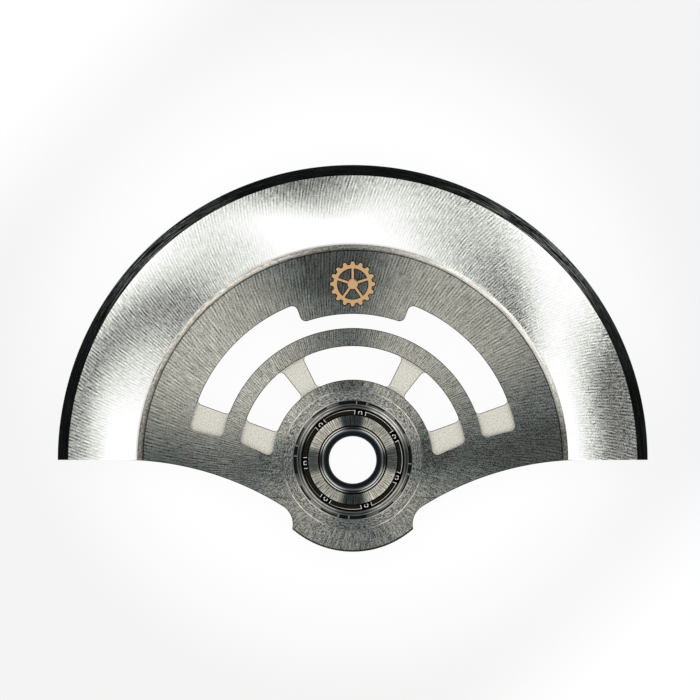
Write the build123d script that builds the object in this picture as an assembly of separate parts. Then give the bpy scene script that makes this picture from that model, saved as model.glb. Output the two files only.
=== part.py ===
from build123d import *

import math
import os

# Winding rotor of an automatic wrist watch: a heavy half ring on a pierced carrier plate, which turns
# on a ball bearing. Sizes are in millimetres and angles in degrees, counted from +X towards +Y.
# Z is the axis of rotation and +Z leaves the visible face. The origin lies on the axis, level with
# the underside of the half ring, and +Y points at the middle of the half ring. The radii add up
# from the bore outwards, to 14.0 mm at the rim, and the levels hang from the rim's crest.

# Bearing core, which is screwed to the movement, and the cone on it
bore_radius = 1.12
bore_chamfer = 0.26
core_wall = 0.46
core_rise = 0.04
core_edge = 0.06
core_shoulder = 0.50
core_foot_step = 0.22
cone_width = 0.54
cone_rise = 0.02
cone_edge = 0.03

# Balls and their races
ball_count = 7
ball_radius = 0.25
ball_depth = 0.40
first_ball = 80.9
contact_angle = 30.0
inner_lip_share = 0.52
outer_lip_share = 0.72

# Ball cage
cage_inner_gap = 0.03
cage_outer_gap = 0.07
cage_base = 0.15
pocket_gap = 0.02

# Bearing outer ring, with the lugs that lock it in the plate
ring_face_width = 0.24
ring_edge = 0.04
ring_end = 0.06
ring_flange_width = 0.38
ring_flange_thickness = 0.25
lug_count = 4
lug_start = 75.4
lug_span = 11.1
lug_thickness = 0.12
lug_gap = 0.02

# Gear that drives the winding train
gear_teeth = 60
gear_rim_width = 0.665
gear_tooth_height = 0.23
gear_height = 0.24
gear_tooth_root_share = 0.32
gear_tooth_tip_share = 0.14

# Carrier plate, from the bearing outwards
plate_thickness = 0.45
ledge_width = 0.14
ledge_depth = 0.15
notch_span = 17.3
hub_sink_width = 0.48
hub_sink_depth = 0.03
hub_ring_width = 0.51
inner_slot_width = 1.59
middle_ring_width = 0.86
outer_slot_width = 1.60
plate_band_width = 2.09
flange_width = 1.45
flange_thickness = 0.25

# Ends, corners, spokes and tab of the two arc slots
slot_start = 20.0
slot_corner = 0.22
recess_depth = 0.20
recess_corner = 0.24
outer_recess_start = 10.2
outer_recess_tilt = 3.5
inner_recess_start = 5.9
inner_recess_tilt = 19.5
spoke_centre = 57.65
spoke_span = 12.5
tab_depth = 0.93
tab_half_angle = 20.2
tab_corner = 0.28

# Lobe round the bearing, and the skirt that runs up from it to the half ring
lobe_width = 0.55
notch_radius = 1.0
notch_reach = 0.55
notch_angle = -38.4
skirt_overlap = 1.05

# Heavy half ring
segment_width = 4.05
rim_height = 1.60
face_step = 0.20
face_crown = 0.02
face_fall = 0.06
outer_bevel_width = 0.48
outer_bevel_drop = 0.38
inner_bevel_width = 0.27
inner_bevel_foot = 0.03
foot_chamfer = 0.12

# Rivets that hold the half ring on the plate's flange
rivet_count = 5
rivet_end_angle = 18.0
rivet_radius = 0.30
rivet_depth = 0.24
rivet_head_radius = 0.48
rivet_head_height = 0.12

# Gilt wheel let into the plate above the tab
gilt_margin = 0.35
gilt_radius = 0.92
gilt_tooth_height = 0.15
gilt_teeth = 16
gilt_rim_width = 0.18
gilt_hub_radius = 0.25
gilt_spokes = 5
gilt_spoke_width = 0.12
gilt_depth = 0.06
gilt_tooth_root_share = 0.32
gilt_tooth_tip_share = 0.18

# Fits, and how far every cut runs past its face
press_gap = 0.005
running_gap = 0.005
seat_gap = 0.01
overrun = 0.5

symmetry_angle = 90.0
half_turn = 180.0
full_turn = 360.0

# Radii, from the bore outwards
core_radius = bore_radius + core_wall
inner_lip_radius = core_radius + cone_width
ball_circle_radius = inner_lip_radius + inner_lip_share * ball_radius
outer_lip_radius = ball_circle_radius + outer_lip_share * ball_radius
ring_radius = outer_lip_radius + ring_face_width
plate_bore_radius = ring_radius + seat_gap
ledge_radius = plate_bore_radius + ledge_width
hub_sink_radius = ledge_radius + hub_sink_width
inner_slot = hub_sink_radius + hub_ring_width, hub_sink_radius + hub_ring_width + inner_slot_width
outer_slot = inner_slot[1] + middle_ring_width, inner_slot[1] + middle_ring_width + outer_slot_width
plate_radius = outer_slot[1] + plate_band_width
flange_radius = plate_radius + flange_width
rotor_radius = plate_radius + segment_width
race_radius = ball_radius + running_gap

# Levels, from the crest of the half ring downwards
plate_top = rim_height - face_step
plate_bottom = plate_top - plate_thickness
flange_top = plate_bottom + flange_thickness
ledge_level = plate_top - ledge_depth
ring_top = ledge_level + lug_thickness
ring_flange_bottom = plate_bottom - ring_flange_thickness
gear_bottom = ring_flange_bottom - gear_height
ring_bottom = gear_bottom - ring_end
ball_level = plate_top - ball_depth


def polar(radius, angle):
    """Point at a radius and an angle about the axis."""
    return Vector(radius * math.cos(math.radians(angle)), radius * math.sin(math.radians(angle)))


def mirrored_span(start):
    """Start and end of a span that lies evenly about the middle of the half ring."""
    return start, half_turn - start


def turned(points):
    """Solid of revolution from the points (radius, height) of its section."""
    return revolve(Plane.XZ * make_face(Polyline(*points, close=True)), Axis.Z)


def tube(inner, outer, bottom, top):
    """Solid ring between two radii and two levels, or a disc where the inner radius is zero."""
    return turned([(inner, bottom), (outer, bottom), (outer, top), (inner, top)])


def prism(outline, bottom, top):
    """Solid over a flat outline between two levels."""
    return extrude(Pos(0, 0, bottom) * outline, top - bottom)


def arc_about(centre, start, end):
    """The shorter arc about a centre, from one point to another."""
    middle = (start + end) / 2 - centre
    return ThreePointArc(start, centre + middle.normalized() * (start - centre).length, end)


def disc_wedge(radius, start, end):
    """Flat piece of a disc between two angles."""
    corners = (0, 0), polar(2 * radius, start), polar(2 * radius, end)
    return Circle(radius) & Polygon(*corners, align=None)


def ring_sector(inner, outer, start, end, corner, tilt=0.0):
    """Flat piece of a ring between two angles, with rounded corners. Its ends lean by the tilt."""
    middle = (inner + outer) / 2
    first, last = polar(middle, start), polar(middle, end)
    along_first, along_last = polar(1, start + tilt), polar(1, end - tilt)
    wedge = Polygon(
        first - along_first * middle,
        first + along_first * outer,
        polar(2 * outer, (start + end) / 2),
        last + along_last * outer,
        last - along_last * middle,
        align=None,
    )
    sector = (Circle(outer) - Circle(inner)) & wedge
    return fillet(sector.vertices(), corner)


def toothed_disc(root, tip, teeth, root_share, tip_share):
    """Flat disc with straight-sided teeth, whose half widths are shares of the pitch."""
    pitch = full_turn / teeth
    points = []
    for tooth in range(teeth):
        centre = tooth * pitch
        points.append(polar(root, centre - root_share * pitch))
        points.append(polar(tip, centre - tip_share * pitch))
        points.append(polar(tip, centre + tip_share * pitch))
        points.append(polar(root, centre + root_share * pitch))
    return Polygon(*points, align=None)


def plate_outline():
    """Half disc, with a skirt below it that curves in to the lobe round the bearing."""
    lobe_radius = inner_slot[0] + lobe_width
    notch_centre = polar(lobe_radius + notch_reach, notch_angle)

    # The skirt's arc leaves the half ring level and runs smoothly into the notch's arc
    skirt_start = Vector(plate_radius + skirt_overlap, 0)
    across = skirt_start.X - notch_centre.X
    below = -notch_centre.Y
    skirt_radius = (across**2 + below**2 - notch_radius**2) / (2 * (below - notch_radius))
    skirt_centre = skirt_start - Vector(0, skirt_radius)
    skirt_end = skirt_centre + (notch_centre - skirt_centre).normalized() * skirt_radius

    # The notch ends where its circle meets the lobe's circle
    reach = notch_centre.length
    along = (reach**2 + lobe_radius**2 - notch_radius**2) / (2 * reach)
    aside = math.sqrt(lobe_radius**2 - along**2)
    outward = notch_centre.normalized()
    lobe_corner = outward * along + Vector(outward.Y, -outward.X) * aside

    right = [
        Line((flange_radius, 0), skirt_start),
        arc_about(skirt_centre, skirt_start, skirt_end),
        arc_about(notch_centre, skirt_end, lobe_corner),
    ]
    left = [edge.mirror(Plane.YZ) for edge in right]
    rim = ThreePointArc((flange_radius, 0), (0, flange_radius), (-flange_radius, 0))
    lobe = ThreePointArc(lobe_corner, (0, -lobe_radius), Vector(-lobe_corner.X, lobe_corner.Y))
    return make_face([rim, *right, lobe, *left])


def outer_window():
    """Opening of the outer slot, narrowed in the middle by the tab below the gilt wheel."""
    tab = disc_wedge(2 * outer_slot[1], *mirrored_span(symmetry_angle - tab_half_angle))
    tab -= Circle(outer_slot[1] - tab_depth)
    window = ring_sector(*outer_slot, *mirrored_span(slot_start), slot_corner) - tab
    tab_corners = window.vertices().sort_by(lambda vertex: abs(vertex.X))[:4]
    return fillet(tab_corners, tab_corner)


def inner_windows():
    """Openings of the inner slot, on both sides of its two spokes."""
    start, end = mirrored_span(slot_start)
    right_spoke = spoke_centre - spoke_span / 2, spoke_centre + spoke_span / 2
    left_spoke = half_turn - right_spoke[1], half_turn - right_spoke[0]
    spans = [(start, right_spoke[0]), (right_spoke[1], left_spoke[0]), (left_spoke[1], end)]
    return [ring_sector(*inner_slot, *span, slot_corner) for span in spans]


def sunk_floors():
    """Outlines of the sunk floors: both ends of the outer slot, clear of its tab, and the inner slot."""
    outer = ring_sector(*outer_slot, *mirrored_span(outer_recess_start), recess_corner, outer_recess_tilt)
    outer -= disc_wedge(2 * outer_slot[1], *mirrored_span(symmetry_angle - 2 * tab_half_angle))
    inner = ring_sector(*inner_slot, *mirrored_span(inner_recess_start), recess_corner, inner_recess_tilt)
    return [outer, inner]


def lug_starts():
    """Angle at which each of the bearing's lugs starts."""
    return [lug_start + full_turn / lug_count * number for number in range(lug_count)]


def at_rivets(shape):
    """The shape at each rivet, evenly spaced along the half ring."""
    first, last = mirrored_span(rivet_end_angle)
    step = (last - first) / (rivet_count - 1)
    angles = [first + step * number for number in range(rivet_count)]
    return [Pos(*polar((plate_radius + flange_radius) / 2, angle)) * shape for angle in angles]


def rivet_hole():
    """Hole for one rivet, through the flange and blind in the half ring."""
    return tube(0, rivet_radius + press_gap, plate_bottom - overrun, flange_top + rivet_depth)


def gilt_outline():
    """Outline of the gilt wheel: a toothed rim, spokes and a hub."""
    tip = gilt_radius + gilt_tooth_height
    gap = Circle(gilt_radius - gilt_rim_width) - Circle(gilt_hub_radius)
    for spoke in range(gilt_spokes):
        bar = Rectangle(gilt_radius, gilt_spoke_width, align=(Align.MIN, Align.CENTER))
        gap -= Rot(0, 0, symmetry_angle + full_turn / gilt_spokes * spoke) * bar
    wheel = toothed_disc(gilt_radius, tip, gilt_teeth, gilt_tooth_root_share, gilt_tooth_tip_share) - gap
    return Pos(0, outer_slot[1] - tab_depth + gilt_margin + tip) * wheel


def carrier_plate():
    """Pierced plate that joins the half ring to the bearing."""
    plate = prism(plate_outline(), plate_bottom, plate_top)
    plate -= tube(plate_radius, rotor_radius, flange_top, plate_top + overrun)
    for floor in sunk_floors():
        plate -= prism(floor, plate_top - recess_depth, plate_top + overrun)
    for window in [outer_window(), *inner_windows()]:
        plate -= prism(window, plate_bottom - overrun, plate_top + overrun)

    # Stepped hole for the bearing, with a notch beside each lug to let it through
    plate -= tube(0, hub_sink_radius, plate_top - hub_sink_depth, plate_top + overrun)
    plate -= tube(0, ledge_radius, ledge_level, plate_top + overrun)
    plate -= tube(0, plate_bore_radius, plate_bottom - overrun, plate_top + overrun)
    for start in lug_starts():
        notch = disc_wedge(ledge_radius, start + lug_span, start + lug_span + notch_span)
        plate -= prism(notch, plate_bottom - overrun, plate_top)

    for hole in at_rivets(rivet_hole()):
        plate -= hole
    return plate - prism(gilt_outline(), plate_top - gilt_depth, plate_top + overrun)


def heavy_segment():
    """Half ring of heavy alloy: a bevel outside, a crowned face and a bevel down to the plate."""
    inner = plate_radius + seat_gap
    seat = flange_radius + seat_gap
    face_inner = inner + inner_bevel_width
    face_outer = rotor_radius - outer_bevel_width
    face_edge = rim_height - face_fall
    sides = Polyline(
        (face_inner, rim_height),
        (inner, plate_top + inner_bevel_foot),
        (inner, flange_top),
        (seat, flange_top),
        (seat, 0),
        (rotor_radius - foot_chamfer, 0),
        (rotor_radius, foot_chamfer),
        (rotor_radius, face_edge - outer_bevel_drop),
        (face_outer, face_edge),
    )
    crest = (face_inner + face_outer) / 2, (rim_height + face_edge) / 2 + face_crown
    face = ThreePointArc((face_outer, face_edge), crest, (face_inner, rim_height))
    segment = revolve(Plane.XZ * make_face([sides, face]), Axis.Z, half_turn)
    for hole in at_rivets(rivet_hole()):
        segment -= hole
    return segment


def segment_rivets():
    """Short rivets, pressed into the half ring from below, with their heads under the flange."""
    head_bottom = plate_bottom - rivet_head_height
    rivet = tube(0, rivet_head_radius, head_bottom, plate_bottom)
    rivet += tube(0, rivet_radius, plate_bottom, flange_top + rivet_depth)
    return Compound(children=at_rivets(rivet))


def race_apex():
    """How far the bottom of a race's V lies from the ball circle."""
    return race_radius / math.cos(math.radians(contact_angle))


def race_lip(lip_share):
    """How far above and below the balls a race ends, at a lip that far from the ball circle."""
    angle = math.radians(contact_angle)
    return (race_radius - lip_share * ball_radius * math.cos(angle)) / math.sin(angle)


def bearing_outer_ring():
    """Outer ring with a V-shaped race, a flange under the plate and lugs on the plate's ledge."""
    lip = race_lip(outer_lip_share)
    ring = turned(
        [
            (outer_lip_radius, ring_bottom),
            (ring_radius, ring_bottom),
            (ring_radius, ring_flange_bottom),
            (ring_radius + ring_flange_width, ring_flange_bottom),
            (ring_radius + ring_flange_width, plate_bottom),
            (ring_radius, plate_bottom),
            (ring_radius, ring_top),
            (outer_lip_radius + ring_edge, ring_top),
            (outer_lip_radius, ring_top - ring_edge),
            (outer_lip_radius, ball_level + lip),
            (ball_circle_radius + race_apex(), ball_level),
            (outer_lip_radius, ball_level - lip),
        ]
    )
    for start in lug_starts():
        lug = disc_wedge(ledge_radius - lug_gap, start, start + lug_span)
        lug -= Circle(outer_lip_radius + ring_face_width / 2)
        ring += prism(lug, ledge_level, ring_top)
    return ring


def drive_gear():
    """Toothed ring pressed on the bearing's outer ring, below its flange."""
    root = ring_radius + gear_rim_width
    tip = root + gear_tooth_height
    outline = toothed_disc(root, tip, gear_teeth, gear_tooth_root_share, gear_tooth_tip_share)
    return prism(outline - Circle(ring_radius + press_gap), gear_bottom, ring_flange_bottom)


def bearing_core():
    """Core with the foot that stands on the movement, the lower inner race and the bore."""
    core_top = plate_top + core_rise
    shoulder_bottom = ball_level - core_shoulder
    return turned(
        [
            (bore_radius, 0),
            (inner_lip_radius - core_foot_step, 0),
            (inner_lip_radius - core_foot_step, shoulder_bottom),
            (inner_lip_radius, shoulder_bottom),
            (inner_lip_radius, ball_level - race_lip(inner_lip_share)),
            (ball_circle_radius - race_apex(), ball_level),
            (core_radius, ball_level),
            (core_radius, core_top - core_edge),
            (core_radius - core_edge, core_top),
            (bore_radius + bore_chamfer, core_top),
            (bore_radius, core_top - bore_chamfer),
        ]
    )


def bearing_cone():
    """Cone with the upper inner race, pressed on the core down to its shoulder."""
    cone_top = plate_top + cone_rise
    return turned(
        [
            (core_radius + press_gap, ball_level),
            (ball_circle_radius - race_apex(), ball_level),
            (inner_lip_radius, ball_level + race_lip(inner_lip_share)),
            (inner_lip_radius, cone_top - cone_edge),
            (inner_lip_radius - cone_edge, cone_top),
            (core_radius + press_gap, cone_top),
        ]
    )


def at_balls(shape):
    """The shape at each ball, evenly spaced on the ball circle."""
    angles = [first_ball + full_turn / ball_count * number for number in range(ball_count)]
    centres = [polar(ball_circle_radius, angle) for angle in angles]
    return [Pos(centre.X, centre.Y, ball_level) * shape for centre in centres]


def ball_cage():
    """Cage that keeps the balls apart: a ring below them with a prong between each two."""
    pocket_radius = ball_radius + pocket_gap
    bottom = ball_level - pocket_radius - cage_base
    top = ball_level + pocket_radius
    cage = tube(inner_lip_radius + cage_inner_gap, outer_lip_radius - cage_outer_gap, bottom, top)
    pocket = Sphere(pocket_radius) + tube(0, pocket_radius, 0, pocket_radius + overrun)
    for cut in at_balls(pocket):
        cage -= cut
    return cage


def main():
    pieces = {
        "carrier_plate": carrier_plate(),
        "heavy_segment": heavy_segment(),
        "segment_rivets": segment_rivets(),
        "gilt_wheel": prism(gilt_outline(), plate_top - gilt_depth, plate_top),
        "bearing_outer_ring": bearing_outer_ring(),
        "drive_gear": drive_gear(),
        "bearing_core": bearing_core(),
        "bearing_cone": bearing_cone(),
        "ball_cage": ball_cage(),
    }
    for number, ball in enumerate(at_balls(Sphere(ball_radius)), start=1):
        pieces[f"ball_{number}"] = ball

    os.makedirs("parts", exist_ok=True)
    for name, shape in pieces.items():
        export_step(shape, f"parts/{name}.step")


main()
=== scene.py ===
# %% [markdown]
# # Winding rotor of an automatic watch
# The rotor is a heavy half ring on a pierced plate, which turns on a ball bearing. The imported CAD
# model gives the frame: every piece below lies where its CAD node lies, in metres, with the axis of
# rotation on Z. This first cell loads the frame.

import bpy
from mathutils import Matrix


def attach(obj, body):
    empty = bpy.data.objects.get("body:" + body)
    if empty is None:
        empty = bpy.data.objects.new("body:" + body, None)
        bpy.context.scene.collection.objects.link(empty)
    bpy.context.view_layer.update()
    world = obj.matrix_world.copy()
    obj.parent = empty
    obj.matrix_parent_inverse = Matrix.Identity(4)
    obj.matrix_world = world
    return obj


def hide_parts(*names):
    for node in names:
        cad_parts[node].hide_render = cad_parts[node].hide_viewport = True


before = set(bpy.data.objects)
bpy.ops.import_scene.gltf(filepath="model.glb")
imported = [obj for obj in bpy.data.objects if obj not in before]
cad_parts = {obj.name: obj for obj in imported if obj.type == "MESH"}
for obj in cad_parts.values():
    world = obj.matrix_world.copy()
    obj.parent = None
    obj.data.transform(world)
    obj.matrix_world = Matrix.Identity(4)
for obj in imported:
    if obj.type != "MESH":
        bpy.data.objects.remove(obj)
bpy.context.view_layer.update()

# %% [markdown]
# ## Camera
# The rotor was photographed from straight above its visible face, with no perspective, so the camera
# is orthographic. A perspective camera far away would do too, but then the walls of the slots would
# show. Two numbers place it: the point that the middle of the picture shows, and the picture's width.

# %% Camera
import bpy
from math import atan2, cos, degrees, hypot, pi, radians, sin, tan

MM = 0.001
picture_middle = -0.128, 5.216
picture_width = 33.22
camera_height = 200

place = *picture_middle, camera_height
bpy.ops.object.camera_add(location=[length * MM for length in place])
camera = bpy.context.object
camera.data.type = "ORTHO"
camera.data.ortho_scale = picture_width * MM
camera.data.clip_start = 1 * MM
camera.data.clip_end = 1000 * MM
bpy.context.scene.camera = camera
bpy.context.scene.view_settings.view_transform = "Standard"
print("picture width:", picture_width, "mm")

# %% [markdown]
# ## Node arithmetic
# A finish is a tree of shader nodes. Placed one by one in Python they hide the sum that they work
# out, so two small classes help: a Wire is the value of one socket and takes + - * / ** like a
# number, and a Sheet is one node tree with a method that adds any node. The alternative, a node
# group for each pattern, is harder to read and doesn't survive every export.

# %% Wires and sheets
class Wire:
    """The value of a socket. Arithmetic on it adds the Math nodes that work out the result."""

    def __init__(self, sheet, socket):
        self.sheet = sheet
        self.socket = socket

    def math(self, operation, *others):
        sockets = dict(enumerate((self, *others)))
        return self.sheet.add("ShaderNodeMath", sockets, operation=operation)["Value"]

    def __add__(self, other):
        return self.math("ADD", other)

    def __sub__(self, other):
        return self.math("SUBTRACT", other)

    def __rsub__(self, other):
        return self.sheet.add("ShaderNodeMath", {0: other, 1: self}, operation="SUBTRACT")["Value"]

    def __mul__(self, other):
        return self.math("MULTIPLY", other)

    def __truediv__(self, other):
        return self.math("DIVIDE", other)

    def __pow__(self, other):
        return self.math("POWER", other)

    __radd__ = __add__
    __rmul__ = __mul__

    def rise(self, low, high):
        """0 below low, 1 above high and a smooth step between them."""
        sockets = {"Value": self, "From Min": low, "From Max": high}
        return self.sheet.add("ShaderNodeMapRange", sockets, interpolation_type="SMOOTHSTEP")["Result"]


class Sheet:
    """The node tree of a material, or of the world."""

    def __init__(self, owner):
        owner.use_nodes = True
        self.owner = owner
        self.nodes = owner.node_tree.nodes
        self.links = owner.node_tree.links

    def add(self, kind, sockets=None, **settings):
        """Adds a node: its settings first, then values or wires for its sockets. Returns its outputs."""
        node = self.nodes.new(kind)
        for setting, value in settings.items():
            setattr(node, setting, value)
        for name, value in (sockets or {}).items():
            self.put(node, name, value)
        return {socket.name: Wire(self, socket) for socket in node.outputs if socket.enabled}

    def put(self, node, name, value):
        """Gives a node's socket a wire or a value, which for a colour is three numbers."""
        named = [socket for socket in node.inputs if socket.name == name and socket.enabled]
        socket = node.inputs[name] if isinstance(name, int) else named[0]
        if isinstance(value, Wire):
            self.links.new(value.socket, socket)
        elif socket.type == "RGBA":
            socket.default_value = (*value, 1.0)
        else:
            socket.default_value = value

    def axes(self, kind):
        """X, Y and Z of one kind of texture coordinate."""
        point = self.add("ShaderNodeTexCoord")[kind]
        return self.add("ShaderNodeSeparateXYZ", {"Vector": point})

    def mix(self, share, first, second, blend="MIX"):
        """Mixes two colours: the first where the share is 0, the second where it is 1."""
        sockets = {"Factor": share, "A": first, "B": second}
        return self.add("ShaderNodeMix", sockets, data_type="RGBA", blend_type=blend)["Result"]


print("node arithmetic ready")

# %% [markdown]
# ## Floor
# The photograph's background is almost white. A floor that only glows would lose the rotor's shadow,
# and one that is only lit comes out grey where the light falls off, so this one mixes both: eyes and
# mirrors see mostly its glow, and the rest is lit. From below it is clear, to let the underside show.

# %% Floor
def seen(sheet):
    """Wire that is 1 for rays from the camera, a mirror or a clear body, and 0 for light."""
    paths = sheet.add("ShaderNodeLightPath")
    straight = paths["Is Camera Ray"].math("MAXIMUM", paths["Is Glossy Ray"])
    return straight.math("MAXIMUM", paths["Is Transmission Ray"])


floor_level = -0.02
floor_grey = 0.90
floor_glow_share = 0.94
border_grey = 0.89

bpy.ops.mesh.primitive_plane_add(size=2, location=(0, 0, floor_level * MM))
floor = bpy.context.object
floor.name = "floor"
floor_sheet = Sheet(bpy.data.materials.new("pale_floor"))
floor_sheet.nodes.clear()
lit = floor_sheet.add("ShaderNodeBsdfDiffuse", {"Color": (floor_grey,) * 3})
axes = floor_sheet.axes("Object")
to_right = axes["X"] / MM - picture_middle[0]
upwards = axes["Y"] / MM - picture_middle[1]
away = (to_right * to_right + upwards * upwards) ** 0.5
# The glow is painted greyer towards the picture's borders, as a painted falloff of the studio light, and
# stays white towards the top-left and bottom-right corners.
corner = ((upwards - to_right) * sin(pi / 4)).math("ABSOLUTE").rise(14, 20)
border = away.rise(10, 18) * (1.0 - corner)
tint = floor_sheet.mix(border, (1.0, 1.0, 1.0), (border_grey,) * 3)
glow = floor_sheet.add("ShaderNodeEmission", {"Color": tint, "Strength": 1.0})
share = seen(floor_sheet) * floor_glow_share
top = floor_sheet.add("ShaderNodeMixShader", {0: share, 1: lit["BSDF"], 2: glow["Emission"]})
clear = floor_sheet.add("ShaderNodeBsdfTransparent")
below = floor_sheet.add("ShaderNodeNewGeometry")["Backfacing"]
both = floor_sheet.add("ShaderNodeMixShader", {0: below, 1: top["Shader"], 2: clear["BSDF"]})
floor_sheet.add("ShaderNodeOutputMaterial", {"Surface": both["Shader"]})
floor.data.materials.append(floor_sheet.owner)
print("floor at", floor_level, "mm")

# %% [markdown]
# ## Studio light
# Brushed metal shows its grain when soft lamps stand round it and the ceiling between them is
# darker: each scratch mirrors a lamp that stands square to it. In the photograph the metal is bright
# along the diagonals and dark along the axes of the picture, so four soft lamps stand at the
# diagonals. One big lamp overhead would light it too, but evenly, and the grain would vanish. Below
# the horizon the room is white, like the paper under the rotor.

# %% World
world_sheet = Sheet(bpy.data.worlds.new("studio"))
bpy.context.scene.world = world_sheet.owner
world_sheet.nodes.clear()
upward = world_sheet.axes("Generated")["Z"]
ceiling = upward.rise(0.45, 0.85)
room = world_sheet.mix(ceiling, (0.92, 0.92, 0.92), (0.66, 0.665, 0.67))
room = world_sheet.mix(upward.rise(-0.02, 0.0), (1.0, 1.0, 1.0), room)
background = world_sheet.add("ShaderNodeBackground", {"Color": room, "Strength": 1.0})
world_sheet.add("ShaderNodeOutputWorld", {"Surface": background["Background"]})
print("world ready")

# %% Lamps
lamp_distance = 150
lamp_size = 90
lamp_brightness = 1.6
lamp_rise = 52

for number, turn in enumerate((45, 135, 225, 315)):
    flat = lamp_distance * cos(radians(lamp_rise))
    place = flat * cos(radians(turn)), flat * sin(radians(turn)), lamp_distance * sin(radians(lamp_rise))
    bpy.ops.object.light_add(type="AREA", location=[length * MM for length in place])
    lamp = bpy.context.object
    lamp.name = f"lamp_{number + 1}"
    lamp.data.shape = "DISK"
    lamp.data.size = lamp_size * MM
    lamp.data.energy = lamp_brightness * pi * pi * (lamp_size * MM / 2) ** 2
    lamp.rotation_euler = (radians(90 - lamp_rise), 0, radians(turn + 90))
    lamp.visible_camera = False
print("4 lamps", lamp_distance, "mm from the bearing")

# %% [markdown]
# ## Modelling by hand, in millimetres
# Edit-mode tools have thresholds that are coarse for a part of 28 mm measured in metres. So each
# piece is modelled a thousand times too large, with one unit for a millimetre, and `settle` brings it
# down to metres when it is done. `begin` adds a primitive and opens it in edit mode.

# %% Begin and settle a piece
import bmesh
from mathutils import Vector


def only(piece):
    """Makes the piece the only selected one, and the active one."""
    bpy.ops.object.select_all(action="DESELECT")
    piece.select_set(True)
    bpy.context.view_layer.objects.active = piece


def open_up(piece):
    """Opens a piece in edit mode, with all of it selected."""
    only(piece)
    bpy.ops.object.mode_set(mode="EDIT")
    bpy.ops.mesh.select_mode(type="VERT")
    bpy.ops.mesh.select_all(action="SELECT")


def begin(name, add, **place):
    """Adds a primitive and opens it in edit mode."""
    add(**place)
    piece = bpy.context.object
    piece.name = piece.data.name = name
    open_up(piece)
    return piece


def close_up():
    """Merges doubles, turns every face outwards and goes back to object mode."""
    bpy.ops.mesh.select_all(action="SELECT")
    bpy.ops.mesh.remove_doubles(threshold=0.0005)
    bpy.ops.mesh.normals_make_consistent(inside=False)
    bpy.ops.object.mode_set(mode="OBJECT")


def pick(piece, kind, test):
    """In edit mode, selects only what passes a test of its middle and its normal, or of its middle and,
    for an edge, the angle that it stands out by."""
    bpy.ops.mesh.select_mode(type=kind)
    bpy.ops.mesh.select_all(action="DESELECT")
    mesh = bmesh.from_edit_mesh(piece.data)
    if kind == "FACE":
        chosen = [face for face in mesh.faces if test(face.calc_center_median(), face.normal)]
    elif kind == "EDGE":
        halfway = {edge: (edge.verts[0].co + edge.verts[1].co) / 2 for edge in mesh.edges}
        chosen = [edge for edge in mesh.edges if test(halfway[edge], edge.calc_face_angle_signed(0))]
    else:
        chosen = [vertex for vertex in mesh.verts if test(vertex.co, vertex.normal)]
    for item in chosen:
        item.select_set(True)
    mesh.select_flush_mode()
    bmesh.update_edit_mesh(piece.data)
    return len(chosen)


def settle(piece, body, slot, *nodes):
    """Brings a finished piece down to metres, ties it to its body and hides its CAD nodes. The slot is not
    used.
    """
    only(piece)
    piece.location = [length * MM for length in piece.location]
    piece.scale = MM, MM, MM
    bpy.ops.object.transform_apply(location=True, rotation=True, scale=True)
    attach(piece, body)
    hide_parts(*nodes)
    print(piece.name, len(piece.data.polygons), "faces")


print("one unit is a millimetre while modelling")

# %% [markdown]
# ## Turning
# Most of the rotor's pieces come off a lathe. A section could be spun, but drawing it out ring by
# ring, as with a pencil, keeps the number of steps exact and the seam closed: the first circle is
# extruded and scaled to each next point of the section, and the last ring merges with the first.

# %% Turn a section
def circle(name, radius, level, steps, y=0.0, fill="NOTHING"):
    """Circle at a level, open in edit mode."""
    place = 0, y, level
    add = bpy.ops.mesh.primitive_circle_add
    return begin(name, add, vertices=steps, radius=radius, fill_type=fill, location=place)


def draw(points, centre=(0, 0, 0)):
    """Draws what is selected out along (radius, height) points, scaling it about a centre."""
    for (radius, level), (next_radius, next_level) in zip(points, points[1:]):
        bpy.ops.mesh.extrude_region_move(TRANSFORM_OT_translate={"value": (0, 0, next_level - level)})
        size = next_radius / radius
        bpy.ops.transform.resize(value=(size, size, 1), center_override=centre)


def turned(name, section, steps=256):
    """Turns a closed section of (radius, height) points round the axis."""
    piece = circle(name, *section[0], steps)
    draw(section + section[:1])
    close_up()
    return piece


def modify(piece, kind, **settings):
    """Adds a modifier with these settings and applies it."""
    only(piece)
    bpy.ops.object.modifier_add(type=kind)
    modifier = piece.modifiers[-1]
    for setting, value in settings.items():
        setattr(modifier, setting, value)
    bpy.ops.object.modifier_apply(modifier=modifier.name)


def break_edges(piece, width, segments=1, spared=lambda middle: False):
    """Breaks the edges that stand out, as a maker does after machining, so that they catch the light."""
    open_up(piece)
    pick(piece, "EDGE", lambda middle, turn: turn > radians(30) and not spared(middle + piece.location))
    bpy.ops.mesh.bevel(offset=width, segments=segments, affect="EDGES", clamp_overlap=False)
    bpy.ops.object.mode_set(mode="OBJECT")
    bpy.ops.object.shade_smooth_by_angle(angle=radians(35))


print("turning tools ready")

# %% [markdown]
# ## Heavy half ring
# The half ring carries the rotor's weight. It is turned from tungsten alloy as a full ring: a bevel
# outside, a slightly crowned face, a narrow bevel down to the plate, and a step underneath in which
# the plate's flange lies. Then it is cut in half. Modelling half a ring at once would leave its two
# ends open, while the cut closes them with flat faces, as the saw does.

# %% Half ring
plate_radius = 9.95
segment_inner = 9.96
seat_radius = 11.41
face_inner = 10.23
face_outer = 13.50
rotor_radius = 14.0
rim_crest = 1.60
face_edge = 1.54
face_crown = 0.02
bevel_foot = 1.16
plate_top = 1.40
plate_bottom = 0.95
flange_top = 1.20
bevel_step = 0.03
lower_chamfer = 0.12


def face_points(count):
    """Points of the crowned face, from its inner edge to its outer edge."""
    points = []
    for number in range(count + 1):
        share = number / count
        radius = face_inner + (face_outer - face_inner) * share
        bulge = face_crown * 4 * share * (1 - share)
        points.append((radius, rim_crest + (face_edge - rim_crest) * share + bulge))
    return points


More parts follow.
